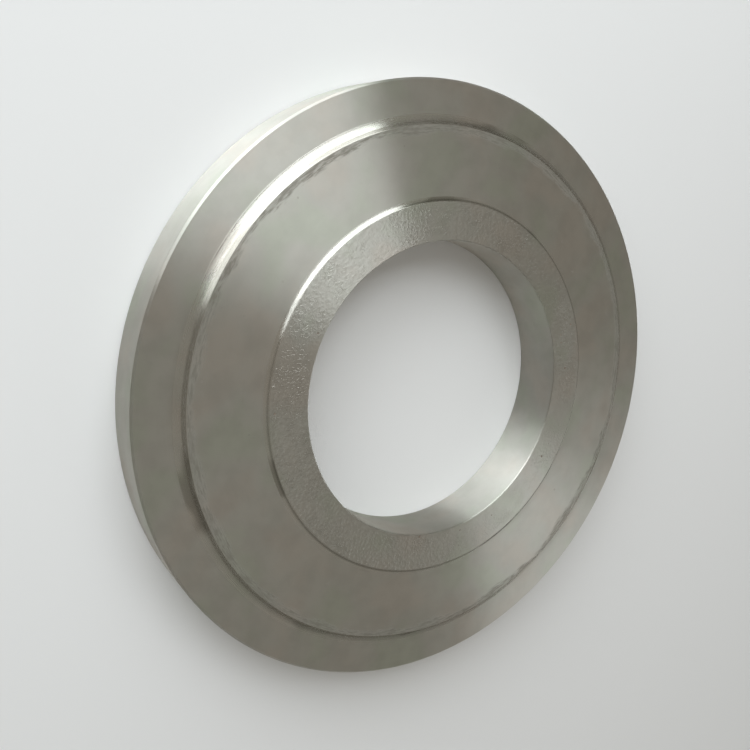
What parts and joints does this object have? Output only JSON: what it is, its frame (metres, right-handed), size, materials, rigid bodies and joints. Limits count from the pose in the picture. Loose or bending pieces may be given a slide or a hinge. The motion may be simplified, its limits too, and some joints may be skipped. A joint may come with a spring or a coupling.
{
  "type": "seamless rolled ring forging",
  "caption": "Thick machined steel ring with a plain bore, a wide rim and two concentric raised faces on one side, with filleted steps and a flat back.",
  "frame": {"origin": "centre of the flat back face, on the ring's axis, at the foot of the part", "axes": "+Z along the ring's axis from the flat back face towards the stepped face; X and Y are any two directions across the ring, which is round"},
  "size_m": [0.64, 0.64, 0.06],
  "materials": {
    "turned_steel": "turned all over with fine concentric tool lines, lightly pitted and stained on the raised faces"
  },
  "bodies": {
    "root": {"stepped_ring": "turned_steel"}
  },
  "joints": []
}
